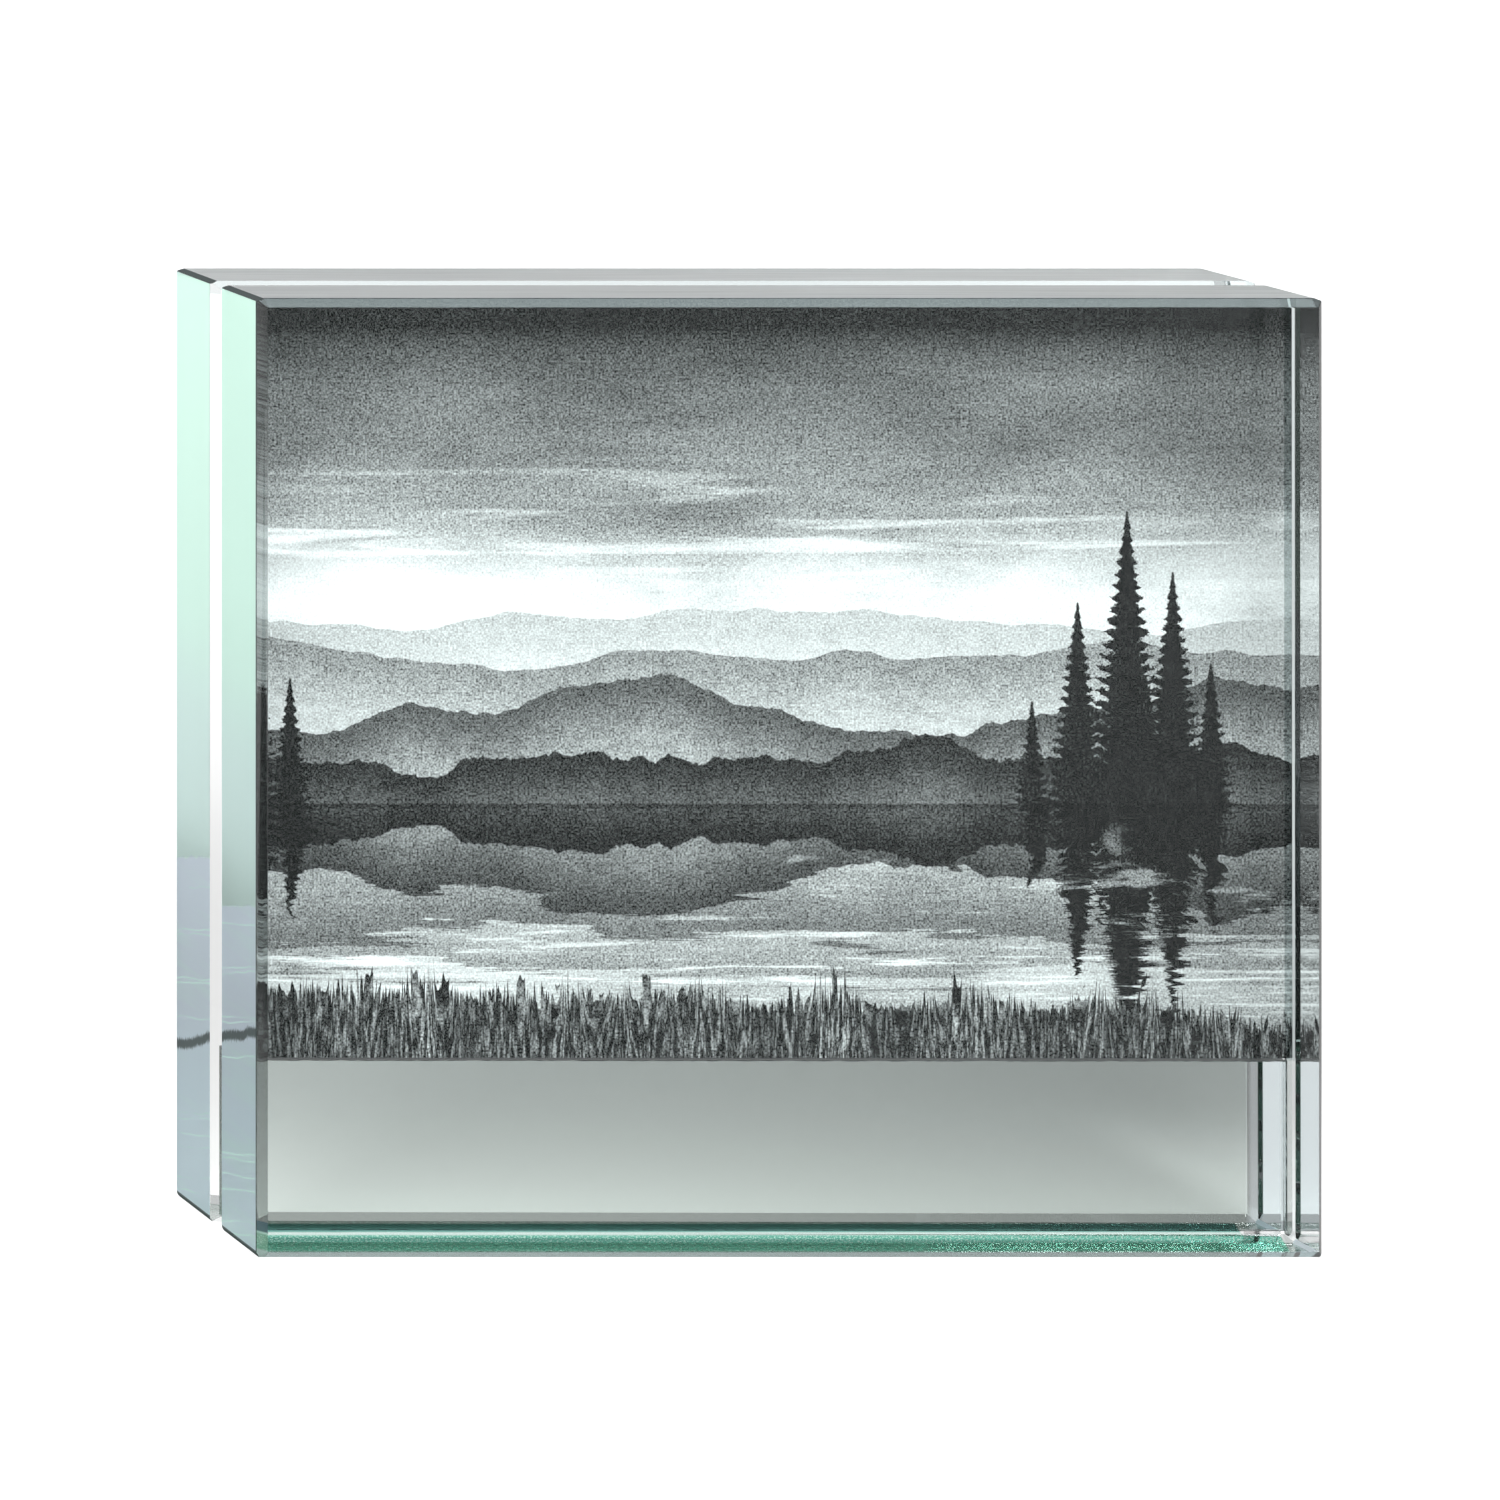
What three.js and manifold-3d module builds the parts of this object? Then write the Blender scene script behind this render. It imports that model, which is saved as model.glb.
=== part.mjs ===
// A free-standing glass picture frame: two bevelled blocks of polished plate glass, bonded face to face
// along the foot with a clear spacer strip, so that a thin slot stays open above it. A photographic print
// is dropped into the slot from the top and stands on the strip.
// Millimetres. +X runs along the width, +Y points to the back, +Z points up.
// The origin lies under the middle of the frame, on the surface that it stands on.

import * as THREE from 'three';
import { mergeVertices } from 'three/addons/utils/BufferGeometryUtils.js';
import Module from 'manifold-3d';

const wasm = await Module();
wasm.setup();

// Photographic print, which sets the size of the whole frame
const printWidth = 178.5;
const printHeight = 129.5;
const printThickness = 0.3;
const printShift = 0.5; // the print was set down a little to the right of the middle
const printSideClearance = 0.3; // between the print and the front block that it leans towards
const printSeatClearance = 0.3; // between the print and the strip that it stands on

// Glass blocks
const blockThickness = 15; // a stock thickness of plate glass
const glassBesidePrint = 0.75; // how far the glass reaches past a centred print at each side
const glassAbovePrint = 1.4;
const bevelLeg = 1.35; // polished bevel at 45 degrees round both faces of each block

// Flats ground by hand along the four edges that run front to back
const topFlatAcross = 1.25;
const topFlatDown = 0.5;
const bottomFlatAcross = 0.45;
const bottomFlatDown = 0.75;

// Bonded foot, between the blocks
const spacerThickness = 1.5; // a stock thickness of clear sheet
const spacerHeight = 29;
const spacerEndMargin = 1.0; // the strip stops short of the sides of the blocks
const spacerFootMargin = 1.8; // and of the surface that they stand on
const filmThickness = 0.05; // clear adhesive on each face of the strip
const filmEdgeMargin = 0.3; // the film stops just inside the edges of the strip

// Sizes and places worked out from those above
const spacerTopZ = spacerFootMargin + spacerHeight;
const printFootZ = spacerTopZ + printSeatClearance;
const blockWidth = printWidth + 2 * glassBesidePrint;
const blockHeight = printFootZ + printHeight + glassAbovePrint;
const slotDepth = spacerThickness + 2 * filmThickness;
const spacerWidth = blockWidth - 2 * spacerEndMargin;
const blockMiddleY = (slotDepth + blockThickness) / 2;
const filmMiddleY = (spacerThickness + filmThickness) / 2;
const printMiddleY = -slotDepth / 2 + printSideClearance + printThickness / 2;

const toolOverrun = 2; // how far a grinding cut reaches past the glass

const materials = {
  glass: new THREE.MeshStandardMaterial({
    color: 0xd8efe6, roughness: 0.03, metalness: 0, transparent: true, opacity: 0.35,
  }),
  spacer: new THREE.MeshStandardMaterial({
    color: 0xe2efec, roughness: 0.1, metalness: 0, transparent: true, opacity: 0.4,
  }),
  film: new THREE.MeshStandardMaterial({
    color: 0xdfe6e4, roughness: 0.2, metalness: 0, transparent: true, opacity: 0.3,
  }),
  print: new THREE.MeshStandardMaterial({ color: 0x7d8483, roughness: 0.45, metalness: 0 }),
};

function toSolid(geometry) {
  const bare = geometry.clone();
  bare.deleteAttribute('normal');
  bare.deleteAttribute('uv');
  const merged = mergeVertices(bare);
  return new wasm.Manifold(new wasm.Mesh({
    numProp: 3,
    vertProperties: new Float32Array(merged.attributes.position.array),
    triVerts: new Uint32Array(merged.index.array),
  }));
}

function toGeometry(solid) {
  const { vertProperties, triVerts } = solid.getMesh();
  const geometry = new THREE.BufferGeometry();
  geometry.setAttribute('position', new THREE.BufferAttribute(vertProperties, 3));
  geometry.setIndex(new THREE.BufferAttribute(triVerts, 1));
  geometry.computeVertexNormals();
  return geometry;
}

// An outline drawn in width and height, swept from the front to the back about the middle of the depth.
function sweepToBack(outline, depth, bevel = 0) {
  const geometry = new THREE.ExtrudeGeometry(outline, {
    depth: depth - 2 * bevel,
    bevelEnabled: bevel > 0,
    bevelThickness: bevel,
    bevelSize: bevel,
    bevelOffset: -bevel,
    bevelSegments: 1,
  });
  geometry.translate(0, 0, bevel - depth / 2);
  return geometry.rotateX(Math.PI / 2);
}

function rectangle(width, height) {
  const halfWidth = width / 2;
  const halfHeight = height / 2;
  return new THREE.Shape([
    new THREE.Vector2(-halfWidth, -halfHeight),
    new THREE.Vector2(halfWidth, -halfHeight),
    new THREE.Vector2(halfWidth, halfHeight),
    new THREE.Vector2(-halfWidth, halfHeight),
  ]);
}

// The wedge of glass ground off one corner of the outline. side is 1 at the right and -1 at the left,
// level is 1 at the top and -1 at the bottom. Its slanted face carries on past both faces of the block.
function cornerOffcut(side, level, across, down) {
  const slope = down / across;
  const outside = across + toolOverrun;
  const cornerX = side * blockWidth / 2;
  const cornerZ = level * blockHeight / 2;
  const points = [
    new THREE.Vector2(cornerX - side * outside, cornerZ + level * slope * toolOverrun),
    new THREE.Vector2(cornerX + side * toolOverrun, cornerZ - level * slope * outside),
    new THREE.Vector2(cornerX + side * toolOverrun, cornerZ + level * slope * toolOverrun),
  ];
  return toSolid(sweepToBack(new THREE.Shape(points), blockThickness + 2 * toolOverrun));
}

function glassBlockGeometry() {
  const plate = sweepToBack(rectangle(blockWidth, blockHeight), blockThickness, bevelLeg);
  let block = toSolid(plate);
  for (const side of [-1, 1]) {
    block = block.subtract(cornerOffcut(side, 1, topFlatAcross, topFlatDown));
    block = block.subtract(cornerOffcut(side, -1, bottomFlatAcross, bottomFlatDown));
  }
  return toGeometry(block);
}

function place(name, geometry, material, [x, y, z]) {
  const mesh = new THREE.Mesh(geometry, material);
  mesh.name = name;
  mesh.position.set(x, y, z);
  return mesh;
}

// The two blocks are cut and polished alike, one turned to face the other.
function glassBlocks() {
  const geometry = glassBlockGeometry();
  return [
    place('front_block', geometry, materials.glass, [0, -blockMiddleY, blockHeight / 2]),
    place('rear_block', geometry, materials.glass, [0, blockMiddleY, blockHeight / 2]),
  ];
}

function bondedFoot() {
  const middleZ = spacerFootMargin + spacerHeight / 2;
  const strip = sweepToBack(rectangle(spacerWidth, spacerHeight), spacerThickness);
  const filmOutline = rectangle(spacerWidth - 2 * filmEdgeMargin, spacerHeight - 2 * filmEdgeMargin);
  const film = sweepToBack(filmOutline, filmThickness);
  return [
    place('spacer_strip', strip, materials.spacer, [0, 0, middleZ]),
    place('front_adhesive', film, materials.film, [0, -filmMiddleY, middleZ]),
    place('rear_adhesive', film, materials.film, [0, filmMiddleY, middleZ]),
  ];
}

function photoPrint() {
  const sheet = sweepToBack(rectangle(printWidth, printHeight), printThickness);
  const middleZ = printFootZ + printHeight / 2;
  return place('photo_print', sheet, materials.print, [printShift, printMiddleY, middleZ]);
}

const bondedFrame = new THREE.Group();
bondedFrame.add(...glassBlocks(), ...bondedFoot());

const pictureFrame = new THREE.Group();
pictureFrame.add(bondedFrame, photoPrint());

export default pictureFrame;
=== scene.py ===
import random

import bmesh
import bpy
from mathutils import Matrix, Vector


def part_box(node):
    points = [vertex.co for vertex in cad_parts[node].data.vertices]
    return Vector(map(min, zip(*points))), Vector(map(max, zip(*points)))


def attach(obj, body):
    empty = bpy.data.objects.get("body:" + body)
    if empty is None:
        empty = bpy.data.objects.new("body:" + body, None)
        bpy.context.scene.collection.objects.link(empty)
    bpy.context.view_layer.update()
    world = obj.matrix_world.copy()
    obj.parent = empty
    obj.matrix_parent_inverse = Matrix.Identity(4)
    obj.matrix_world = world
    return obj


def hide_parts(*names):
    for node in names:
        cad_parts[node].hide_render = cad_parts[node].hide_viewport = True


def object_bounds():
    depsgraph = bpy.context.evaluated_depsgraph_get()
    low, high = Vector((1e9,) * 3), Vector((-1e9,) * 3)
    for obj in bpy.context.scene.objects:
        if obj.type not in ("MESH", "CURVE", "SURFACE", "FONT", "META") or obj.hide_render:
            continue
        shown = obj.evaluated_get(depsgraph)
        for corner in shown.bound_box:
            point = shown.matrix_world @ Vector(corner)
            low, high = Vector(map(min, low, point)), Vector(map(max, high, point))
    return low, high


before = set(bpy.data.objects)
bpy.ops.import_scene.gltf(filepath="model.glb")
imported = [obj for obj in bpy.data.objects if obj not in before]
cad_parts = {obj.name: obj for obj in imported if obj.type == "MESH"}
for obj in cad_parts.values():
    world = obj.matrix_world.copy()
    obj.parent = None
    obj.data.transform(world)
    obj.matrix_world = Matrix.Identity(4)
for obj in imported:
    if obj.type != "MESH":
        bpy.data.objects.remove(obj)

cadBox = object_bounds()
mm = 0.001
scene = bpy.context.scene
scene.view_settings.view_transform = "Standard"


# Shader maths: a wrapped socket, so that an expression adds its Math nodes
class Value:
    def __init__(self, finish, socket):
        self.finish = finish
        self.socket = socket

    def math(self, operation, *others):
        sockets = dict(enumerate((self, *others)))
        return self.finish.add("Math", {"operation": operation}, sockets)

    def __add__(self, other):
        return self.math("ADD", other)

    def __radd__(self, other):
        return self.math("ADD", other)

    def __sub__(self, other):
        return self.math("SUBTRACT", other)

    def __rsub__(self, other):
        return -self + other

    def __neg__(self):
        return self.math("MULTIPLY", -1)

    def __mul__(self, other):
        return self.math("MULTIPLY", other)

    def __rmul__(self, other):
        return self.math("MULTIPLY", other)

    def __truediv__(self, other):
        return self.math("DIVIDE", other)

    def size(self):
        return self.math("ABSOLUTE")

    def other(self, name):
        return Value(self.finish, self.socket.node.outputs[name])

    # 0 below low, 1 above high and a smooth step between them
    def step(self, low, high):
        settings = {"interpolation_type": "SMOOTHSTEP"}
        sockets = {"Value": self, "From Min": low, "From Max": high}
        return self.finish.add("MapRange", settings, sockets)

    # 1 below low, 0 above high
    def fade(self, low, high):
        return 1 - self.step(low, high)

    # this value where mask is 0, other where it is 1
    def blend(self, other, mask):
        return self.finish.add("Mix", {"data_type": "FLOAT"}, {"Factor": mask, "A": self, "B": other})


# One finish, of a material, a lamp or the world, and the one method that adds a node to it
class Finish:
    def __init__(self, name, owner=None):
        self.owner = owner or bpy.data.materials.new(name)
        self.owner.use_nodes = True
        self.tree = self.owner.node_tree
        self.shader = self.tree.nodes.get("Principled BSDF")

    def add(self, kind, settings=None, sockets=None, out=0):
        node = self.tree.nodes.new("ShaderNode" + kind)
        for key, setting in (settings or {}).items():
            if key == "stops":
                self.setStops(node.color_ramp, setting)
            else:
                setattr(node, key, setting)
        for key, item in (sockets or {}).items():
            self.plug(node.inputs[key], item)
        return Value(self, node.outputs[out])

    # an item is a value, a number or a colour, which is written without its alpha
    def plug(self, socket, item):
        if isinstance(item, Value):
            self.tree.links.new(item.socket, socket)
        else:
            socket.default_value = (*item, 1) if socket.type == "RGBA" else item

    def setStops(self, ramp, stops):
        while len(ramp.elements) < len(stops):
            ramp.elements.new(0.5)
        for element, (place, colour) in zip(ramp.elements, stops):
            element.position = place
            element.color = (*colour, 1)

    def set(self, **settings):
        names = {"colour": "Base Color", "roughness": "Roughness", "index": "IOR", "normal": "Normal",
                 "clear": "Transmission Weight", "tint": "Specular Tint", "gloss": "Specular IOR Level",
                 "glow": "Emission Color", "glowPower": "Emission Strength"}
        for key, item in settings.items():
            self.plug(self.shader.inputs[names[key]], item)

    def surface(self, shader):
        self.plug(self.tree.nodes["Material Output"].inputs["Surface"], shader)

    # the shader that the surface has so far
    def result(self):
        return Value(self, self.tree.nodes["Material Output"].inputs["Surface"].links[0].from_socket)

    # the shader under where mask is 0, over where it is 1
    def mix(self, under, over, mask):
        return self.add("MixShader", {}, {0: mask, 1: under, 2: over})

    def transparent(self, colour=(1, 1, 1)):
        return self.add("BsdfTransparent", {}, {"Color": colour})

    # a matt colour, mixed over this finish where mask is 1
    def dull(self, colour, mask):
        sockets = {"Base Color": colour, "Roughness": 1.0, "Specular IOR Level": 0.0}
        self.surface(self.mix(self.result(), self.add("BsdfPrincipled", {}, sockets), mask))

    # light on its way to a matt surface crosses the glass unbent, as it would without the noise of caustics
    def letLightBy(self):
        path = self.add("LightPath", out="Is Shadow Ray")
        lit = (path + path.other("Diffuse Depth")).step(0.0, 1.0)
        self.surface(self.mix(self.result(), self.transparent(), lit))

    def place(self):
        return self.add("TexCoord", out="Object")

    def axes(self):
        x = self.add("SeparateXYZ", {}, {0: self.place()}, out="X")
        return x, x.other("Y"), x.other("Z")

    # 1 where light comes in from the air, 0 where it meets the surface from inside the glass
    def outside(self):
        return 1 - self.add("NewGeometry", out="Backfacing")

    # 1 for a ray from the eye, straight or by way of glass, and 0 for one that lights a matt surface
    def seenByEye(self):
        path = self.add("LightPath", out="Is Camera Ray")
        seen = path + path.other("Is Glossy Ray") + path.other("Is Transmission Ray")
        return seen.step(0.0, 1.0) * path.other("Diffuse Depth").fade(0.0, 1.0)

    # 1 for a ray that was reflected on its way, also inside the glass
    def reflected(self):
        return self.add("LightPath", out="Glossy Depth").step(0.0, 1.0)

    def vector(self, x, y, z=0.0):
        return self.add("CombineXYZ", {}, {"X": x, "Y": y, "Z": z})

    # along a line where there is one value, over a plane for a pair and through space for a vector
    def noise(self, where, scale=1.0, detail=4.0, rough=0.5, warp=0.0):
        kind = "3D"
        if isinstance(where, tuple):
            kind = "2D"
            where = self.vector(*where)
        elif where.socket.type == "VALUE":
            kind = "1D"
        sockets = {"W" if kind == "1D" else "Vector": where, "Scale": scale, "Detail": detail,
                   "Roughness": rough, "Distortion": warp}
        return self.add("TexNoise", {"noise_dimensions": kind}, sockets)

    # how far an uneven line swings to both sides of its place. start picks another stretch of the noise.
    def sway(self, along, waves, start=0.0, detail=2.0):
        frequency, swing = waves
        return (self.noise(along * frequency + start, 1.0, detail) - 0.5) * swing

    def bump(self, strength, scale, detail):
        grain = self.noise(self.place(), scale, detail, 0.6)
        self.set(normal=self.add("Bump", {}, {"Strength": strength, "Distance": 0.2 * mm, "Height": grain}))

    # one colour laid over another where mask is 1
    def paint(self, under, over, mask):
        return self.add("Mix", {"data_type": "RGBA"}, {0: mask, 6: under, 7: over}, out=2)

    # colours along a value from 0 to 1, from a list of places and colours
    def ramp(self, stops, value):
        return self.add("ValToRGB", {"stops": stops}, {"Fac": value})


def newPiece(name, bm, finishes):
    mesh = bpy.data.meshes.new(name)
    bm.to_mesh(mesh)
    bm.free()
    for finish in finishes:
        mesh.materials.append(finish.owner)
    piece = bpy.data.objects.new(name, mesh)
    scene.collection.objects.link(piece)
    return piece


# Camera, where the photograph's stood, with its film plane parallel to the face of the glass
view = {
    "place": (-0.5026, -0.8758, 0.3174),
    "frame": 1500,  # the photograph's side, in pixels, as the next three are
    "centreAcross": 2937,  # from the foot of the camera's own perpendicular to the middle of the frame
    "centreDown": 1372,
    "focal": 5100,
    "sensor": 36,
}


def placeCamera():
    across = view["centreAcross"] / view["focal"]
    down = view["centreDown"] / view["focal"]
    data = bpy.data.cameras.new("camera")
    data.sensor_width = view["sensor"]
    data.lens = view["sensor"] * view["focal"] / view["frame"] * Vector((across, 1, down)).length
    camera = bpy.data.objects.new("camera", data)
    standard = bpy.data.objects.new("standard", None)
    standard.location = view["place"]
    for item in (camera, standard):
        scene.collection.objects.link(item)
    camera.parent = standard
    camera.matrix_parent_inverse = Matrix((
        (1, 0, -across, 0),
        (0, 0, -1, 0),
        (0, 1, down, 0),
        (0, 0, 0, 1),
    ))
    scene.camera = camera


placeCamera()
print("camera placed")

# Stage: a plain pale floor, one soft lamp and a plain world. A pair is where a step starts and ends.
stage = {
    "floorRadius": 3.0,
    "floorGap": 0.2 * mm,  # polished glass never quite touches what it stands on
    "floorColour": (0.85, 0.85, 0.85),
    "floorRoughness": 0.9,
    "floorGloss": 0.1,
    "floorWhite": 0.4,  # lifts a lit floor to white where the camera sees it, also through glass
    "farWhite": 0.55,  # added to it far from the lamp
    "farFrom": (0.2, 1.9),
    "footLight": 0.1,  # what the clear foot lets through on to the floor behind it
    "footLightFront": (-0.03, 0.0),
    "footLightBack": (0.0, 0.2),
    "footLightHalf": (0.06, 0.14),
    "sideLight": 0.28,  # and what the right side lets through
    "sideLightLeft": (0.085, 0.1),
    "sideLightRight": (0.15, 0.35),
    "sideLightHalf": (0.035, 0.08),
    "dark": (0.02, 0.024, 0.023),  # the unlit parts of the studio
    "stripeSlope": 0.685,  # the dark stripe on the floor, which leads away to the front left
    "stripeStart": 0.052,
    "stripeFrom": (0.12, 0.2),
    "stripeHalf": (0.04, 0.07),
    "lampAim": (-0.405, -0.70, 0.588),  # from the frame to the lamp
    "lampDistance": 2.2,
    "lampSide": 1.0,
    "lampPower": 40.0,
    "card": (0.045, 0.12, 0.17),  # how far left of the frame it stands, its width and height
    "cardGap": (2 * mm, 0.5 * mm),  # from the frame and from the floor
    "fill": 0.45,
    # the world by the height of the direction, and its dark overhead and at the left
    "room": [
        (0.0, (1.0, 1.0, 1.0)), (0.3, (0.85, 0.87, 0.87)), (0.55, (0.5, 0.52, 0.52)),
        (0.8, (0.34, 0.36, 0.36)), (1.0, (0.3, 0.32, 0.32)),
    ],
    "darkAbove": (0.55, 0.75),
    "darkAboveFront": (0.1, 0.2),
    "darkAboveShare": 0.75,
    "darkLeft": (0.6, 0.72),
    # what a mirror shows of the world: at the horizon, and what is added overhead
    "shine": 1.1,
    "shineAbove": (3.0, 3.7, 3.8),
    "shineFrom": (0.6, 0.8),
    "bounces": 40,  # light needs many to find its way out of thick glass
}


def layFloor():
    finish = Finish("paleFloor")
    away = finish.add("VectorMath", {"operation": "LENGTH"}, {0: finish.place()}, out="Value")
    x, y, z = finish.axes()
    footLight = (y.step(*stage["footLightFront"]) * y.fade(*stage["footLightBack"])
                 * x.size().fade(*stage["footLightHalf"]))
    sideLight = (x.step(*stage["sideLightLeft"]) * x.fade(*stage["sideLightRight"])
                 * y.size().fade(*stage["sideLightHalf"]))
    white = away.step(*stage["farFrom"]) * stage["farWhite"] + stage["floorWhite"]
    white = white + footLight * stage["footLight"] + sideLight * stage["sideLight"]
    finish.set(colour=stage["floorColour"], roughness=stage["floorRoughness"], gloss=stage["floorGloss"],
               glow=(1, 1, 1), glowPower=finish.seenByEye() * white)
    # The dark stripe shows only by reflection inside the glass
    beside = (y - x * stage["stripeSlope"] - stage["stripeStart"]).size()
    stripe = (-x).step(*stage["stripeFrom"]) * beside.fade(*stage["stripeHalf"])
    finish.dull(stage["dark"], finish.reflected() * stripe)
    bm = bmesh.new()
    bmesh.ops.create_circle(bm, cap_ends=True, segments=96, radius=stage["floorRadius"],
                            matrix=Matrix.Translation((0, 0, -stage["floorGap"])))
    newPiece("floor", bm, [finish])


def hangLamp():
    data = bpy.data.lights.new("softbox", "AREA")
    data.size = stage["lampSide"]
    data.energy = stage["lampPower"]
    lamp = bpy.data.objects.new("softbox", data)
    scene.collection.objects.link(lamp)
    finish = Finish("softbox", data)
    finish.plug(finish.tree.nodes["Emission"].inputs["Strength"], 1 - finish.seenByEye())
    aim = Vector(stage["lampAim"]).normalized()
    lamp.matrix_world = (Matrix.Translation(aim * stage["lampDistance"])
                         @ aim.to_track_quat("Z", "Y").to_matrix().to_4x4())


# A dark card to the left, bent up from the floor. It shows only by reflection inside the glass.
def standCard():
    finish = Finish("darkCard")
    dark = finish.add("BsdfDiffuse", {}, {"Color": stage["dark"]})
    finish.surface(finish.mix(finish.transparent(), dark, finish.reflected()))
    away, wide, high = stage["card"]
    fromFrame, fromFloor = stage["cardGap"]
    left = cadBox[0][0]
    bm = bmesh.new()
    bmesh.ops.create_grid(bm, x_segments=1, y_segments=1, size=0.5)
    flat = Matrix((
        (away, 0, 0, left - fromFrame - away / 2),
        (0, wide, 0, 0),
        (0, 0, 1, fromFloor),
        (0, 0, 0, 1),
    ))
    bmesh.ops.transform(bm, matrix=flat, verts=bm.verts)
    bend = [e for e in bm.edges if all(v.co.x < left - away for v in e.verts)]
    made = bmesh.ops.extrude_edge_only(bm, edges=bend)
    rise = [v for v in made["geom"] if isinstance(v, bmesh.types.BMVert)]
    bmesh.ops.translate(bm, vec=(0, 0, high), verts=rise)
    card = newPiece("darkCard", bm, [finish])
    card.visible_camera = False
    card.visible_diffuse = False
    card.visible_glossy = False
    card.visible_shadow = False


# A pale horizon that darkens overhead and to the left, as a studio does. Only glass shows it.
def paintWorld():
    world = bpy.data.worlds.new("studio")
    scene.world = world
    finish = Finish("studio", world)
    direction = finish.add("TexCoord", out="Generated")
    x = finish.add("SeparateXYZ", {}, {0: direction}, out="X")
    y = x.other("Y")
    height = x.other("Z")
    overhead = height.step(*stage["darkAbove"]) * (-y).step(*stage["darkAboveFront"])
    room = finish.ramp(stage["room"], height)
    room = finish.paint(room, stage["dark"], overhead * stage["darkAboveShare"])
    room = finish.paint(room, stage["dark"], (-x).step(*stage["darkLeft"]))
    path = finish.add("LightPath", out="Is Glossy Ray")
    mirrored = path * (1 - path.other("Is Transmission Ray"))
    above = height.step(*stage["shineFrom"])
    shine = finish.add("CombineColor", {}, {
        channel: above * added + stage["shine"] for channel, added in enumerate(stage["shineAbove"])
    })
    room = finish.paint(room, shine, mirrored)
    light = finish.paint((stage["fill"],) * 3, room, finish.seenByEye())
    finish.plug(finish.tree.nodes["Background"].inputs["Color"], light)


layFloor()
standCard()
hangLamp()
paintWorld()
scene.cycles.max_bounces = stage["bounces"]
scene.cycles.glossy_bounces = stage["bounces"]
scene.cycles.transmission_bounces = stage["bounces"]
scene.cycles.transparent_max_bounces = stage["bounces"]
print("stage ready")

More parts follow.
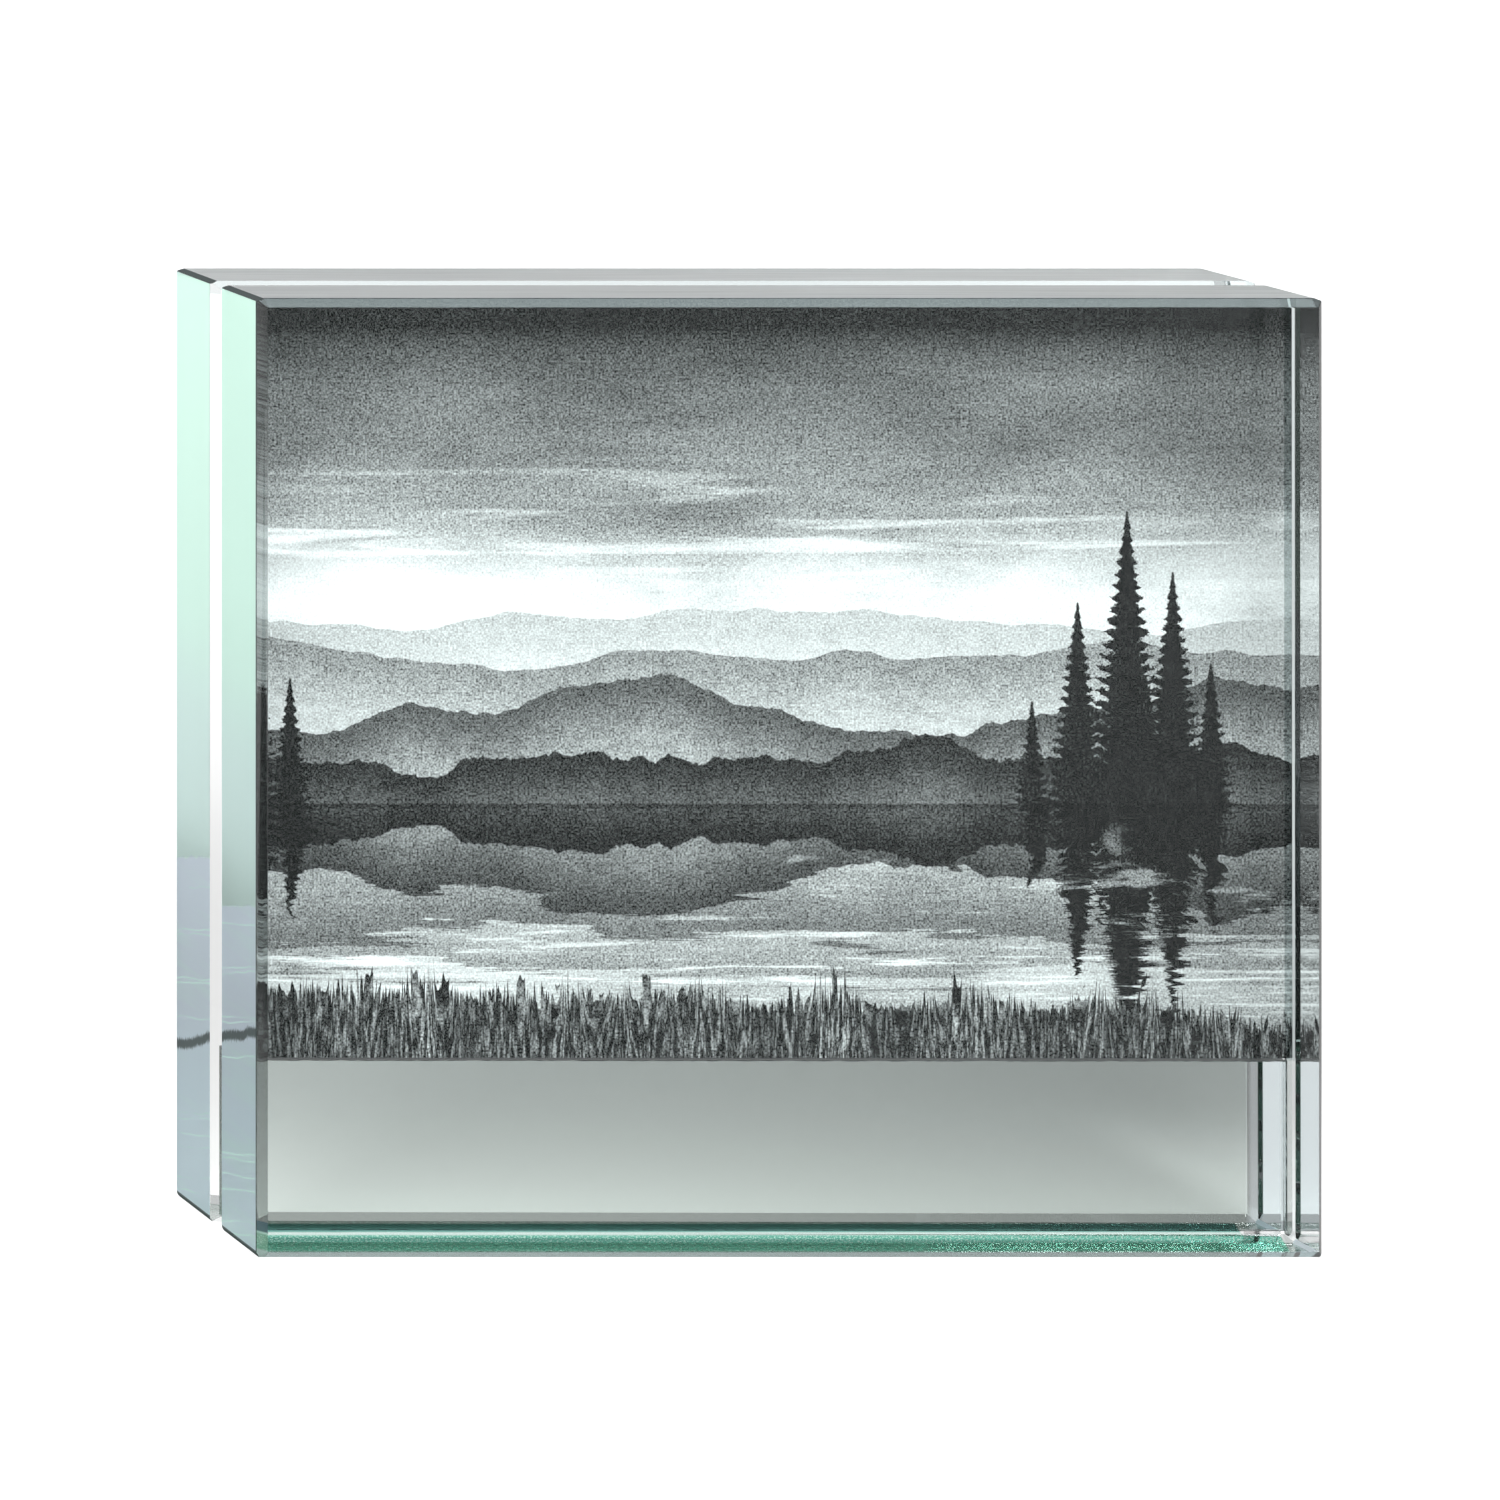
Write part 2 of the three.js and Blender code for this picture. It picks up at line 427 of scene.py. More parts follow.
# Glass blocks. A pair of lengths is where a step starts and ends, unless a note says what it is.
glass = {
    "index": 1.52,
    "arris": 0.1 * mm,
    # painted shade on the front block's left and top arrises
    "arrisShadeColour": (0.04, 0.05, 0.05),
    "calm": (0.1, 0.11, 0.11),  # the faces mirror little of the studio in front of them
    "face": (1.0, 1.0, 1.0),
    "top": (1.0, 0.98, 0.99),
    "topHaze": 0.35,
    "topSatin": 0.6,  # share of the top that scatters light
    "topStreaks": ((0.46, 0.47, 0.48), (0.6, 0.61, 0.62)),
    "topGrind": (30.0, 1500.0),  # waves to a metre along the streaks, and across them
    # the sawn side: its colours, and the painted reflections and painted shade in its foot, which rise to
    # the front
    "side": (0.65, 1.0, 0.84),
    # painted reflection: the blue-grey foot of the side, for the shaded floor and studio it mirrors
    "sideFoot": (0.66, 0.77, 0.87),
    "sideLow": (0.67, 0.83, 0.92),
    "sideLowTop": (20 * mm, 40 * mm),
    "satin": 0.45,  # share of the side's foot that scatters light
    "sideFootTops": (57.5 * mm, 61 * mm),  # front block, rear block
    "sideSlope": 0.289,
    "sideHaze": (0.3, 0.5),  # above, and in the foot
    "cloud": (60.0, 300.0),  # waves to a metre in depth and height, as in the next
    "shade": (25.0, 160.0),
    "shadeShare": 0.3,
    "wave": (300.0, 1.2 * mm),  # waves to a metre, and how far they swing, here and in the next three
    "wander": (110.0, 1.4 * mm),
    "hair": (5000.0, 1.6 * mm),
    "bend": (160.0, 2.0 * mm),
    # painted reflections: the light lines in the side's foot
    "lines": (54.3, 47, 46.2, 38.6, 37.8, 31.8, 15.2, 14.3, 11.5, 9.2, 3.9, 1.6),  # heights in mm
    "lineShift": 0.4,  # share of the step between the two blocks' feet that the lines take
    "lineHalf": 0.24 * mm,
    "line": (0.62, 0.95, 0.8),
    "lineDepth": 0.7,
    "lineSatin": 0.2,  # share that scatters light, added to the foot's
    # painted reflection: the dark wavy streak on the side
    "streaks": (35.7 * mm, 29.0 * mm),  # front block, rear block
    "streakSlope": 0.12,  # added to the side's own
    "streakHalf": (0.66 * mm, 1.1 * mm),
    "streak": (0.08, 0.1, 0.1),
    # painted shade: the dark line along the foot
    "footShadeLine": (1.0 * mm, 1.15 * mm),  # the dark line along the foot
    "darkSatin": 0.4,  # share that scatters light in the streak and in that line
    # the ground underside, and the painted reflection of it that the faces show from the bevel up, with
    # painted dark and light bands: height in mm, colour
    "bottom": (0.5, 0.85, 0.72),
    "bottomGreen": (0.06, 0.22, 0.15),
    "bottomLight": (0.5, 0.8, 0.7),
    "bottomSatin": 0.25,
    "foot": [
        (1.45, (0.6, 1.0, 0.9)), (1.65, (0.1, 0.8, 0.47)), (2.9, (0.1, 0.8, 0.47)),
        (3.1, (0.04, 0.42, 0.25)), (4.15, (0.05, 0.45, 0.27)), (4.35, (0.7, 1.0, 0.9)),
        (4.6, (0.7, 1.0, 0.9)), (4.8, (0.06, 0.27, 0.21)), (5.1, (0.025, 0.14, 0.12)),
        (6.1, (0.02, 0.12, 0.1)), (6.35, (0.9, 1.0, 0.97)),
    ],
    # painted reflection of the ground underside, low on the left bevel
    "leftFoot": [
        (1.4, (0.3, 0.36, 0.35)), (1.7, (0.1, 0.25, 0.17)), (4.1, (0.09, 0.23, 0.15)),
        (4.4, (0.3, 0.5, 0.42)), (4.7, (0.045, 0.1, 0.11)), (6.3, (0.04, 0.08, 0.1)),
    ],
    "footScale": 8.0,  # the height where the lists above would reach 1
    "footWaver": (60.0, 0.15),  # waves to a metre, and their swing in mm
    "footTop": (6.3 * mm, 6.4 * mm),
    "footRight": (78.0 * mm, 84.4 * mm),  # how far right its dark and its flecked part reach
    "footDarkFrom": (4.0 * mm, 4.2 * mm),
    "footLean": 0.6,  # how its right end leans in with the height
    "outerFrom": (15.0 * mm, 15.5 * mm),  # tells the outer faces from those in the slot
    # painted reflection of the underside's flecks, on the faces and the left bevel
    "fleck": 4500.0,  # flecks to a metre of height
    "fleckWide": 0.6,  # share of them to a metre of width
    "fleckTop": (4.1 * mm, 4.3 * mm),
    "fleckLight": (0.45, 1.0, 0.75),
    "fleckDark": (0.03, 0.25, 0.16),
    "fleckLeft": (0.3, 0.6, 0.45),
    # bevels and corner flats, whose greys are painted shade and painted highlights
    "innerBevel": (1.0, 1.0, 1.0),
    # painted shade: the inner bevels greyer at the top, at the right and beside the print
    "innerTop": (0.52, 0.56, 0.56),
    "innerTopFrom": (159.5 * mm, 160 * mm),
    "innerRight": (0.62, 0.66, 0.65),
    "innerRightFrom": (88 * mm, 88.5 * mm),
    "innerBesidePrint": (0.36, 0.42, 0.42),
    "printFoot": (30.8 * mm, 31.2 * mm),
    # painted shade: the outer bevels' greys, which differ at the left, the right, the foot and the rear
    "outerBevel": (0.36, 0.46, 0.46),
    "leftBevel": (0.21, 0.235, 0.23),
    "leftBevelWidth": (1.4 * mm, 1.6 * mm),
    "leftFootTop": (6.2 * mm, 6.5 * mm),
    "leftFootShare": 0.75,  # of its green that is painted on
    "rearBevel": (0.34, 0.32, 0.32),
    "rearFootBevel": (0.46, 0.45, 0.45),
    "rightBevel": (0.01, 0.012, 0.012),
    "rightBevelWidth": (1.5 * mm, 2.0 * mm),
    "rightBevelDull": (0.04, 0.045, 0.045),
    "rightBevelShare": 0.5,
    "footBevel": (0.15, 0.23, 0.24),
    "footBevelTop": (2 * mm, 3 * mm),
    # painted shade at the left and low down, and a painted highlight at the right
    "flatLeft": (0.06, 0.07, 0.07),
    "flatLow": (0.02, 0.04, 0.035),
    "flatLowTop": (50 * mm, 100 * mm),
    "flatRight": (0.5, 0.57, 0.6),
}


def clearGlass(name, colour, roughness=0.0):
    finish = Finish(name)
    finish.set(colour=colour, roughness=roughness, index=glass["index"], clear=1.0)
    return finish


# Sawn and polished side: hazy for light coming in, with painted reflections low down: a blue-grey foot for
# the shaded floor and studio the glass mirrors there, light lines and a dark wavy streak, and painted shade
# along the foot
def sideGlass():
    finish = clearGlass("sideGlass", glass["side"])
    x, y, z = finish.axes()
    rear = y.step(-0.1 * mm, 0.1 * mm)
    low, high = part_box("rear_block")
    middle = (low.y + high.y) / 2
    depth = y + middle - rear * 2 * middle  # from the middle of its own block
    level = z + depth * glass["sideSlope"]
    frontTop, rearTop = glass["sideFootTops"]
    shift = rear * (rearTop - frontTop)
    wave = finish.sway(y, glass["wave"], rear * 5.0)
    foot = (shift + frontTop + wave - level).step(-0.3 * mm, 0.3 * mm)
    cloudDeep, cloudHigh = glass["cloud"]
    cloud = finish.noise((y * cloudDeep, z * cloudHigh), rough=0.6)
    shadeDeep, shadeHigh = glass["shade"]
    shade = finish.noise((y * shadeDeep, z * shadeHigh), detail=3.0, rough=0.6)
    # Painted reflection: below the foot line the side is blue-grey, for the shaded floor and studio it
    # mirrors there
    colour = finish.paint(glass["sideFoot"], glass["sideLow"], level.fade(*glass["sideLowTop"]))
    colour = finish.paint(colour, glass["side"], shade.step(0.45, 0.8) * glass["shadeShare"])
    colour = finish.paint(glass["side"], colour, foot)
    # Painted reflections: light lines at the listed heights, in the foot only
    lines = foot * 0
    for number, line in enumerate(glass["lines"]):
        wander = finish.sway(y, glass["wander"], rear * 3.0 + number * 7.0)
        away = (level - shift * glass["lineShift"] + wander - line * mm).size()
        lines = lines.math("MAXIMUM", away.fade(0.0, glass["lineHalf"]))
    lines = lines * cloud.step(0.25, 0.6) * foot
    # Painted reflection: a dark wavy streak across the side
    frontStreak, rearStreak = glass["streaks"]
    ragged = finish.sway(y, glass["hair"]) + finish.sway(y, glass["bend"], 3.0, 1.0)
    drift = level + depth * glass["streakSlope"] + ragged - rear * (rearStreak - frontStreak) - frontStreak
    # Painted shade: a dark line along the foot, added to the painted streak
    dark = drift.size().fade(*glass["streakHalf"]) + z.fade(*glass["footShadeLine"])
    outside = finish.outside()
    clean, hazy = glass["sideHaze"]
    finish.set(colour=colour, roughness=outside * (foot * (hazy - clean) + clean))
    satin = finish.paint(colour, glass["line"], lines * glass["lineDepth"])
    share = foot * glass["satin"] + lines * glass["lineSatin"] + dark * glass["darkSatin"]
    finish.dull(finish.paint(satin, glass["streak"], dark), share * outside)
    return finish


# Painted reflection of the ground underside: colours that change with the height above the foot, in mm
def footColours(finish, stops, height):
    scale = glass["footScale"]
    return finish.ramp([(level / scale, colour) for level, colour in stops], height / scale)


# Painted reflection: low down, the outer face is painted green and flecked as the ground underside shows
# through it, with a painted dark band and painted light lines
def faceGlass():
    finish = clearGlass("faceGlass", glass["face"])
    x, y, z = finish.axes()
    outer = y.size().step(*glass["outerFrom"]) * finish.outside()
    green = footColours(finish, glass["foot"], z / mm + finish.sway(x, glass["footWaver"], 0.0, 3.0))
    fleck = finish.noise((x * glass["fleckWide"], z), glass["fleck"], 2.0, 0.6)
    flecked = z.fade(*glass["fleckTop"])
    green = finish.paint(green, glass["fleckLight"], fleck.step(0.53, 0.62) * flecked)
    green = finish.paint(green, glass["fleckDark"], fleck.fade(0.3, 0.45) * flecked * 0.8)
    darkEnd, fleckEnd = glass["footRight"]
    end = fleckEnd + z.step(*glass["footDarkFrom"]) * (darkEnd - fleckEnd) - z * glass["footLean"]
    here = outer * z.fade(*glass["footTop"]) * (x - end).fade(0.0, 0.4 * mm)
    finish.set(colour=finish.paint(glass["face"], green, here), tint=glass["calm"])
    return finish


# Satin top, with faint streaks along it from the belt that ground it
def topGlass():
    finish = clearGlass("topGlass", glass["top"])
    x, y, z = finish.axes()
    outside = finish.outside()
    finish.set(roughness=outside * glass["topHaze"])
    along, across = glass["topGrind"]
    streaks = finish.noise((x * along, y * across), rough=0.6).step(0.3, 0.7)
    finish.dull(finish.paint(*glass["topStreaks"], streaks), outside * glass["topSatin"])
    return finish


def bottomGlass():
    finish = clearGlass("groundBottomGlass", glass["bottom"], 0.15)
    finish.bump(0.4, 900.0, 3.0)
    speck = finish.noise(finish.place(), 1600.0, 2.0).step(0.56, 0.66)
    finish.dull(finish.paint(glass["bottomGreen"], glass["bottomLight"], speck), glass["bottomSatin"])
    return finish


# The bevels round the slot, with painted shade: greyer at the top, at the right and beside the print
def innerBevelGlass():
    finish = clearGlass("innerBevelGlass", glass["innerBevel"])
    x, y, z = finish.axes()
    colour = finish.paint(glass["innerBevel"], glass["innerTop"], z.step(*glass["innerTopFrom"]))
    right = finish.paint(glass["innerRight"], glass["innerBesidePrint"], z.step(*glass["printFoot"]))
    finish.set(colour=finish.paint(colour, right, x.step(*glass["innerRightFrom"])))
    return finish


# The bevels round the outer faces, with painted shade: greys that differ at the left, the right, the foot
# and the rear, for the dark bands the glass shows there
def outerBevelGlass():
    finish = clearGlass("outerBevelGlass", glass["outerBevel"])
    x, y, z = finish.axes()
    left = (x - cadBox[0][0]).fade(*glass["leftBevelWidth"])
    right = (cadBox[1][0] - x).fade(*glass["rightBevelWidth"])
    front = y.fade(-mm, mm)
    aboveFoot = z.step(*glass["footBevelTop"])
    colour = finish.paint(glass["outerBevel"], glass["leftBevel"], left)
    colour = finish.paint(colour, glass["footBevel"], 1 - aboveFoot)
    colour = finish.paint(colour, glass["rightBevel"], right)
    rearColour = finish.paint(glass["rearFootBevel"], glass["rearBevel"], aboveFoot)
    finish.set(colour=finish.paint(rearColour, colour, front))
    fleck = finish.noise((y, z), glass["fleck"], 2.0, 0.6).step(0.45, 0.7) * z.fade(*glass["fleckTop"])
    green = finish.paint(footColours(finish, glass["leftFoot"], z / mm), glass["fleckLeft"], fleck * 0.5)
    low = left * z.fade(*glass["leftFootTop"]) * front
    share = right * front * glass["rightBevelShare"] + low * glass["leftFootShare"]
    finish.dull(finish.paint(glass["rightBevelDull"], green, low), share)
    return finish


# Painted shade and painted highlight: opaque corner flats, dark at the left and low down, light grey-blue at
# the right
def cornerFlat():
    finish = Finish("cornerFlat")
    x, y, z = finish.axes()
    colour = finish.paint(glass["flatLow"], glass["flatLeft"], z.step(*glass["flatLowTop"]))
    colour = finish.paint(colour, glass["flatRight"], x.step(0.0, mm))
    finish.set(colour=colour, roughness=0.5, gloss=0.02)
    return finish


# Painted shade: an opaque dark colour for the dark lines along some arrises
def paintedShadeArris():
    finish = Finish("paintedShadeArris")
    finish.set(colour=glass["arrisShadeColour"], roughness=0.5, gloss=0.0)
    return finish


def clearBond():
    finish = Finish("clearBond")
    finish.surface(finish.transparent())
    return finish


blockFinishes = {
    "face": faceGlass(),
    "side": sideGlass(),
    "top": topGlass(),
    "bottom": bottomGlass(),
    "innerBevel": innerBevelGlass(),
    "flat": cornerFlat(),
    "bond": clearBond(),
    "outerBevel": outerBevelGlass(),
    "arris": paintedShadeArris(),
}
for part in ("face", "side", "top", "bottom", "innerBevel", "outerBevel"):
    blockFinishes[part].letLightBy()


def finishOf(normal, bondSide):
    if abs(normal.y) > 0.99:
        return "face"
    if abs(normal.y) > 0.3:
        return "innerBevel" if normal.y * bondSide > 0 else "outerBevel"
    if abs(normal.x) > 0.999:
        return "side"
    if abs(normal.z) > 0.999:
        return "top" if normal.z > 0 else "bottom"
    return "flat"


# A copy of a node's mesh, which comes as loose triangles, with its flat faces whole again
def copyNode(name):
    bm = bmesh.new()
    bm.from_mesh(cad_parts[name].data)
    bmesh.ops.remove_doubles(bm, verts=bm.verts, dist=0.001 * mm)
    bmesh.ops.dissolve_limit(bm, angle_limit=0.02, verts=bm.verts, edges=bm.edges)
    return bm


def inPlane(face, planeY):
    return abs(face.calc_center_median().y - planeY) < 0.01 * mm


# Where the strip is bonded to the glass, light crosses as if there were no surface
def clearBondedPatch(bm, bondY, number):
    low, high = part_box("spacer_strip")
    for corner, normal in ((low, (1, 0, 0)), (high, (1, 0, 0)), (low, (0, 0, 1)), (high, (0, 0, 1))):
        faces = [f for f in bm.faces if inPlane(f, bondY)]
        cut = faces + list({e for f in faces for e in f.edges}) + list({v for f in faces for v in f.verts})
        bmesh.ops.bisect_plane(bm, geom=cut, plane_co=corner, plane_no=normal, dist=0.0001 * mm)
    for face in bm.faces:
        middle = face.calc_center_median()
        if low.x < middle.x < high.x and low.z < middle.z < high.z and inPlane(face, bondY):
            face.material_index = number


# bondSide is 1 for a block that is bonded on its rear face, and -1 for one bonded on its front face
def glassBlock(name, bondSide):
    low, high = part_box(name)
    numbers = {part: number for number, part in enumerate(blockFinishes)}
    bm = copyNode(name)
    for face in bm.faces:
        face.material_index = numbers[finishOf(face.normal, bondSide)]
    bmesh.ops.bevel(bm, geom=bm.edges[:], offset=glass["arris"], segments=2, profile=0.5,
                    affect="EDGES", material=-1)
    # Painted shade: the front block's outer arrises are dark at the left and the top
    for face in bm.faces:
        leftEdge = -0.98 < face.normal.x < -0.75
        topEdge = 0.75 < face.normal.z < 0.98
        if bondSide > 0 and face.normal.y < -0.1 and (leftEdge or topEdge):
            face.material_index = numbers["arris"]
    clearBondedPatch(bm, high.y if bondSide > 0 else low.y, numbers["bond"])
    block = newPiece(name + "_glass", bm, blockFinishes.values())
    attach(block, "frame")
    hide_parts(name)


glassBlock("front_block", 1)
glassBlock("rear_block", -1)
print("glass blocks made")

# Spacer strip, with the bead of adhesive that squeezed out to its edges
strip = {
    "edge": (0.93, 0.97, 0.96),
    "haze": 0.2,
    # painted shade: the strip's dark top edge, in the gap under the print
    "top": (0.07, 0.08, 0.08),
    "end": (0.87, 0.91, 0.92),  # past where the grey stops
    # painted shade: the sheet's grey stands in for the shadow on the floor behind, seen through the glass
    "greyTop": (0.42, 0.465, 0.45),  # the dusty sheet seen through the glass, in its upper part
    "greyFoot": (0.61, 0.67, 0.64),
    "dim": 0.11,  # what its right part loses on each face
    "dimFrom": (-60 * mm, 80 * mm),
    "clearFrom": (82.4 * mm, 83.2 * mm),  # nothing dims it past here
    "step": 1.0 * mm,
    "beads": {"front": (0.05 * mm, 0.18 * mm), "rear": (0.01 * mm, 0.03 * mm)},  # narrowest and widest
    "beadInset": 0.005 * mm,  # the bead lies inside the film's thickness
    "beadColour": (0.025, 0.032, 0.031),
    "seed": 4,
}


# Sheet of clear plastic with painted shade: as grey as the view through both blocks looks, darker towards
# the top and the right, for the shadow on the floor behind. Half of the grey is on each face.
def shadeGreySheet():
    finish = Finish("shadeGreySheet")
    low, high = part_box("spacer_strip")
    x, y, z = finish.axes()
    foot, top = (finish.transparent([part ** 0.5 for part in strip[key]]) for key in ("greyFoot", "greyTop"))
    sheet = finish.mix(foot, top, z.step(low.z, high.z))
    sheet = finish.mix(sheet, finish.transparent((0, 0, 0)), x.step(*strip["dimFrom"]) * strip["dim"])
    finish.surface(finish.mix(sheet, finish.transparent(strip["end"]), x.step(*strip["clearFrom"])))
    return finish


def sawnEdge():
    finish = clearGlass("sawnEdge", strip["edge"], strip["haze"])
    finish.bump(0.3, 1500.0, 2.0)
    return finish


# Painted shade: the strip's top edge is dark for the shaded gap under the print
def stripTopShade():
    finish = Finish("stripTopShade")
    finish.set(colour=strip["top"], roughness=0.5)
    return finish


def spacerStrip():
    bm = copyNode("spacer_strip")
    for face in bm.faces:
        face.material_index = 1 if abs(face.normal.y) > 0.9 else 2 if face.normal.z > 0.9 else 0
    piece = newPiece("strip", bm, [sawnEdge(), shadeGreySheet(), stripTopShade()])
    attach(piece, "frame")
    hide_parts("spacer_strip")


# A flat ring of adhesive along the strip's outline, its inner edge uneven
def adhesiveBead(name):
    node = name + "_adhesive"
    low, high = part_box("spacer_strip")
    filmLow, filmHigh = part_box(node)
    inset = strip["beadInset"]
    size = high - low
    middle = (low + high) / 2
    columns = round(size.x / strip["step"])
    rows = round(size.z / strip["step"])
    bm = bmesh.new()
    bmesh.ops.create_grid(bm, x_segments=columns, y_segments=rows, size=0.5)
    upright = Matrix((
        (size.x, 0, 0, middle.x),
        (0, 0, 1, filmLow.y + inset),
        (0, size.z, 0, middle.z),
        (0, 0, 0, 1),
    ))
    bmesh.ops.transform(bm, matrix=upright, verts=bm.verts)
    rim = {v for e in bm.edges if e.is_boundary for v in e.verts}
    inner = [f for f in bm.faces if not any(v in rim for v in f.verts)]
    bmesh.ops.delete(bm, geom=inner, context="FACES")
    random.seed(strip["seed"])
    for vert in bm.verts:
        if vert in rim:
            continue
        ragged = random.uniform(*strip["beads"][name])
        for axis in (0, 2):
            for edge, inward in ((low, 1), (high, -1)):
                if abs(vert.co[axis] - edge[axis]) < 1.5 * strip["step"]:
                    vert.co[axis] = edge[axis] + inward * ragged
    made = bmesh.ops.extrude_face_region(bm, geom=bm.faces[:], use_keep_orig=True)
    shift = [v for v in made["geom"] if isinstance(v, bmesh.types.BMVert)]
    bmesh.ops.translate(bm, verts=shift, vec=(0, filmHigh.y - filmLow.y - 2 * inset, 0))
    bmesh.ops.recalc_face_normals(bm, faces=bm.faces)
    finish = Finish("adhesive")
    finish.set(colour=strip["beadColour"], roughness=0.4)
    bead = newPiece(name + "_bead", bm, [finish])
    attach(bead, "frame")
    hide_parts(node)


spacerStrip()
adhesiveBead("front")
adhesiveBead("rear")
print("bonded foot made")

# Print: a black and white photograph of misty hills above a lake, on satin paper with a white back
picture = {
    "shore": 0.335,  # heights and widths in the picture are shares of its height
    "black": (0.002, 0.0025, 0.0025),
    "white": (0.86, 0.965, 0.96),
    "paper": (0.93, 0.93, 0.91),
    "roughness": 0.5,
    "gloss": 0.05,
    "edge": 0.0006,  # half the soft edge of a ridge or the shore
    "sky": [
        (0.50, (1.0,) * 3), (0.60, (0.95,) * 3), (0.66, (0.62,) * 3), (0.72, (0.36,) * 3),
        (0.80, (0.2,) * 3), (0.885, (0.17,) * 3), (0.93, (0.1,) * 3), (0.962, (0.02,) * 3),
    ],
    "cloud": (1.1, 3.6),  # how it stretches, across and up
    "streak": (0.8, 17.0),
    "gleam": (0.70, 0.12, 0.45),  # height, reach and brightness of the bright streaks of cloud
    # far to near: height of the crest, swing, waves across, roughness, seed, tone at the crest and below
    "ridges": [
        (0.580, 0.060, 2.1, 0.46, 3.1, 0.66, 0.9),
        (0.530, 0.075, 1.7, 0.48, 7.7, 0.34, 0.72),
        (0.460, 0.085, 2.3, 0.55, 12.4, 0.12, 0.45),
        (0.395, 0.070, 3.0, 0.62, 21.9, 0.035, 0.2),
    ],
    "mist": 0.11,  # depth below the crest at which it is thickest
    "woods": (34, 60, 0.9),  # clumps to the picture's height, across and up, and how dark they are
    # place across, height of the tip, and boughs to half of the picture's height
    "firs": [(1.10, 0.60, 34), (1.165, 0.72, 30), (1.225, 0.64, 33), (1.04, 0.47, 40), (1.19, 0.5, 37),
             (1.275, 0.52, 36), (0.065, 0.50, 36), (0.012, 0.585, 31)],
    "firWidth": 0.17,  # half of it, as a share of the height below the tip
    "firTone": (0.004, 0.02),  # at its darkest, and what the lit needles add
    "trunk": 0.0016,  # half of its width
    "lakeFold": 1.12,  # how much shorter the mirrored hills look
    "lakeDim": 0.75,  # what the ripples take from their tone
    "shoreLine": (0.004, 0.003, 0.4),  # depth, half of its height and darkness
    "bank": (0.09, -0.03, 0.045),  # rise and fall of the grass, its slope to the right and its height
    "grassTone": (0.015, 0.2, 0.36),  # dark, light and what a tuft adds
    "grain": 0.0026,
    "grainWeight": (0.16, 1.8),  # alone, and as a share of the tone
    "vignette": (0.66, 0.4, 0.72, 0.25),  # its middle across, where it starts and ends, its darkness
}


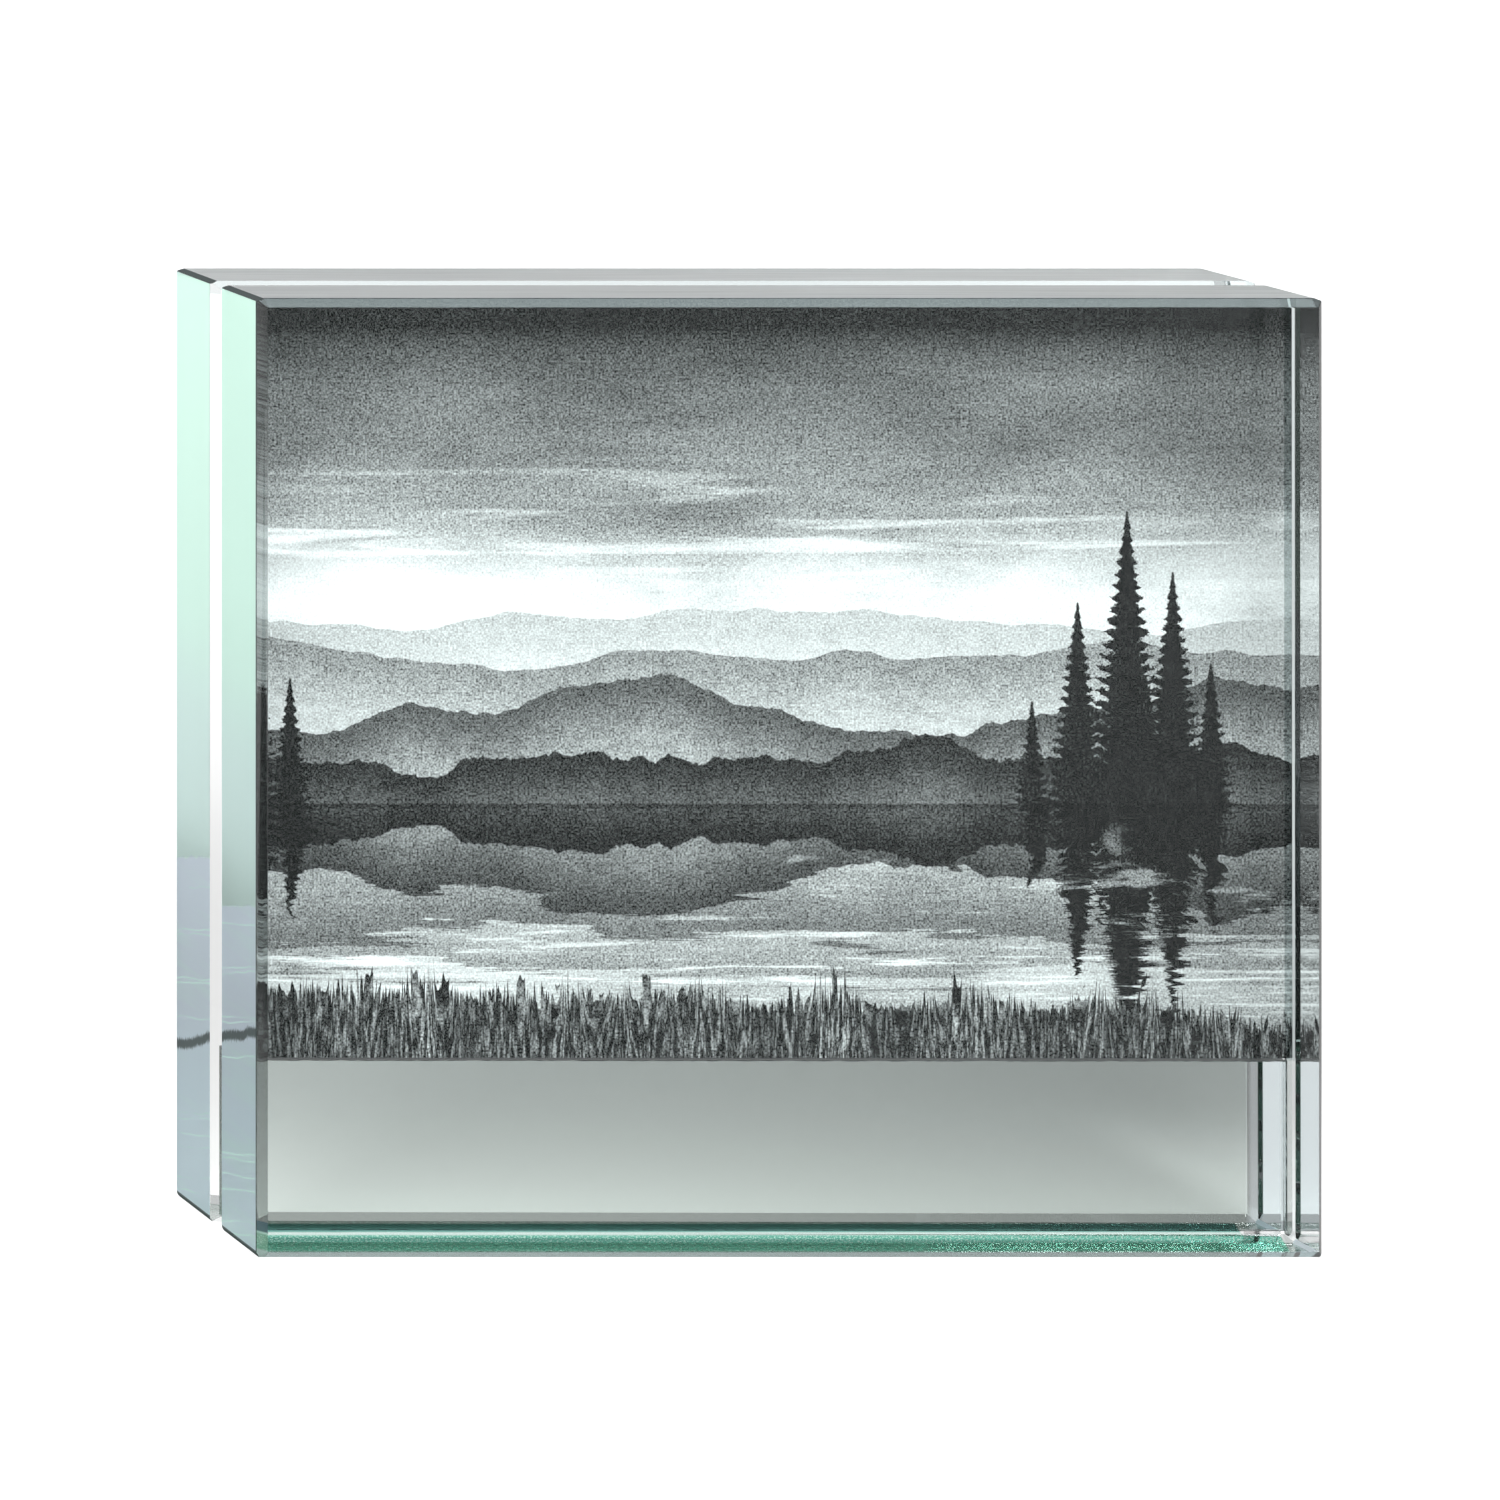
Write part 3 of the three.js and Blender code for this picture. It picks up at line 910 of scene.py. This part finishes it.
class Picture:
    def __init__(self, finish):
        low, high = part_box("photo_print")
        x, y, z = finish.axes()
        height = high.z - low.z
        self.finish = finish
        self.across = (x - low.x) / height
        self.up = (z - low.z) / height

    def sky(self, u, v):
        finish = self.finish
        tone = finish.add("RGBToBW", {}, {0: finish.ramp(picture["sky"], v)})
        across, up = picture["cloud"]
        cloud = finish.noise((u * across, v * up), 2.6, 8.0, 0.58, 0.25)
        across, up = picture["streak"]
        streak = finish.noise((u * across + 4.0, v * up), 2.4, 4.0, 0.5, 0.5)
        height, reach, brightness = picture["gleam"]
        gleam = streak.step(0.53, 0.72) * (v - height).size().fade(0.0, reach)
        return tone * (0.3 + cloud * 1.6) + gleam * brightness

    def hills(self, u, v, tone):
        finish = self.finish
        edge = picture["edge"]
        across, up, darkness = picture["woods"]
        for level, swing, waves, rough, seed, crest, mist in picture["ridges"]:
            line = finish.noise(u * waves + seed, detail=9.0, rough=rough)
            depth = line * (2 * swing) + (level - swing) - v
            ridge = depth.step(0.0, picture["mist"]) * (mist - crest) + crest
            woods = finish.noise((u * across + seed, v * up), detail=3.0, rough=0.65)
            shade = (woods - 0.5) * (1 - crest) * darkness
            tone = tone.blend(ridge * (1 + shade), depth.step(-edge, edge))
        return tone

    def firs(self, u, v, tone):
        finish = self.finish
        darkest, lit = picture["firTone"]
        ragged = finish.noise((u * 90, v * 120), detail=3.0, rough=0.7)
        for stem, tip, boughs in picture["firs"]:
            below = tip - v
            beside = (u - stem).size()
            bough = ((below + beside * 0.55 + ragged * 0.012) * boughs * 2.0).math("FRACT")
            reach = below * picture["firWidth"] * (0.25 + bough * 0.6 + ragged * 0.5)
            trunk = below.step(0.0, 0.001) * picture["trunk"]
            mask = (reach + trunk - beside).step(-0.0005, 0.0015)
            tone = tone.blend(darkest + ragged * lit, mask)
        return tone

    # The lake mirrors what stands above the shore, so its place is folded over before anything is drawn
    def landscape(self):
        u, v = self.across, self.up
        depth = picture["shore"] - v
        lake = depth.step(-picture["edge"], picture["edge"])
        ripple = self.finish.noise((u * 4.0, v * (150.0 - v * 260.0)), 1.0, 5.0, 0.6, 0.2)
        wobble = (ripple - 0.5) * lake
        folded = depth * picture["lakeFold"] + picture["shore"] + wobble * (depth * 0.55 + 0.02)
        up = v.blend(folded, lake)
        side = u + wobble * 0.05
        tone = self.firs(side, up, self.hills(side, up, self.sky(side, up)))
        tone = tone * (1 - lake * (picture["lakeDim"] - ripple * picture["lakeDim"]))
        tone = tone + lake * ripple.step(0.58, 0.68) * depth.step(0.0, 0.1) * 0.3
        place, half, darkness = picture["shoreLine"]
        near = (depth - place).size().step(0.0, 2 * half).math("LESS_THAN", 0.5)
        return tone * (1 - near * darkness)

    def grass(self, tone):
        finish = self.finish
        u, v = self.across, self.up
        rise, slope, height = picture["bank"]
        bank = finish.noise(u * 1.6 + 31.0, detail=5.0) * rise + u * slope + height
        lean = u + v * (finish.noise(u * 30.0, detail=1.0) - 0.5) * 0.5
        blade = finish.noise(lean * 230.0, detail=2.0, rough=0.7)
        tuft = finish.noise(u * 11.0 + 5.0, detail=3.0, rough=0.6).step(0.3, 0.8)
        stalks = finish.noise((lean * 200, v * 24), rough=0.7)
        edge = bank + (blade - 0.38) * (tuft * 0.16 + 0.03) - v
        dark, light, tuftLight = picture["grassTone"]
        blades = dark + stalks.step(0.42, 0.72) * (light + tuft * tuftLight)
        return tone.blend(blades, edge.step(-0.001, 0.002))

    # Grain of the film, weaker in bright tones
    def grainy(self, tone):
        finish = self.finish
        u, v = self.across / picture["grain"], self.up / picture["grain"]
        where = finish.vector(u.math("FLOOR"), v.math("FLOOR"))
        hard = finish.add("TexWhiteNoise", {"noise_dimensions": "2D"}, {"Vector": where})
        soft = finish.noise((u, v), detail=0.0)
        grain = (hard * 0.3 + soft * 0.7 - 0.5) * (1 - tone.step(0.3, 0.9) * 0.7)
        alone, share = picture["grainWeight"]
        return (tone * (grain * share + 1) + grain * alone).math("MAXIMUM", 0.0)

    def tone(self):
        middle, start, end, darkness = picture["vignette"]
        shade = (self.across - middle).size().step(start, end) * darkness
        return self.grainy(self.grass(self.landscape())) * (1 - shade)


def printFront():
    finish = Finish("printedPicture")
    colour = finish.paint(picture["black"], picture["white"], Picture(finish).tone())
    finish.set(colour=colour, roughness=picture["roughness"], gloss=picture["gloss"])
    return finish


def paper():
    finish = Finish("paper")
    finish.set(colour=picture["paper"], roughness=picture["roughness"])
    return finish


def photoPrint():
    bm = copyNode("photo_print")
    for face in bm.faces:
        face.material_index = 0 if face.normal.y < -0.9 else 1
    sheet = newPiece("picture_print", bm, [printFront(), paper()])
    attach(sheet, "print")
    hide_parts("photo_print")


photoPrint()
print("print made")
